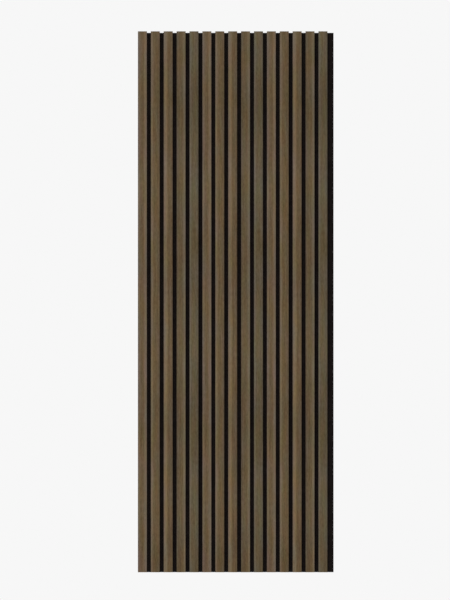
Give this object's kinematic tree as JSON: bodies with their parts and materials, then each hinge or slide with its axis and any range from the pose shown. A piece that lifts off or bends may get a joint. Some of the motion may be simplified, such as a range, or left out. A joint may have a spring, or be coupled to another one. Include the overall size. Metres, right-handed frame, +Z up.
{
  "type": "acoustic slat wall panel",
  "caption": "Wall panel of narrow veneered slats stapled side by side to a board of black felt, with open grooves between them that take up sound.",
  "frame": {"origin": "middle of the felt board's back face, which goes flat against the wall", "axes": "+Z up along the slats, +X across the panel to the right seen from its front, +Y into the wall; the front faces -Y"},
  "size_m": [0.607, 0.021, 1.678],
  "materials": {
    "slat_veneer": "matt lacquered dark oak veneer, straight grain along the slat",
    "slat_core": "sawn brown fibreboard, seen only at the ends and the back",
    "felt": "matt black pressed polyester felt",
    "staple_wire": "zinc-coated flat wire, pressed into the felt"
  },
  "bodies": {
    "root": {"felt_backing": "felt", "slat_core_01": "slat_core", "slat_core_02": "slat_core", "slat_core_03": "slat_core", "slat_core_04": "slat_core", "slat_core_05": "slat_core", "slat_core_06": "slat_core", "slat_core_07": "slat_core", "slat_core_08": "slat_core", "slat_core_09": "slat_core", "slat_core_10": "slat_core", "slat_core_11": "slat_core", "slat_core_12": "slat_core", "slat_core_13": "slat_core", "slat_core_14": "slat_core", "slat_core_15": "slat_core", "slat_veneer_01": "slat_veneer", "slat_veneer_02": "slat_veneer", "slat_veneer_03": "slat_veneer", "slat_veneer_04": "slat_veneer", "slat_veneer_05": "slat_veneer", "slat_veneer_06": "slat_veneer", "slat_veneer_07": "slat_veneer", "slat_veneer_08": "slat_veneer", "slat_veneer_09": "slat_veneer", "slat_veneer_10": "slat_veneer", "slat_veneer_11": "slat_veneer", "slat_veneer_12": "slat_veneer", "slat_veneer_13": "slat_veneer", "slat_veneer_14": "slat_veneer", "slat_veneer_15": "slat_veneer", "back_staples": "staple_wire"}
  },
  "joints": []
}
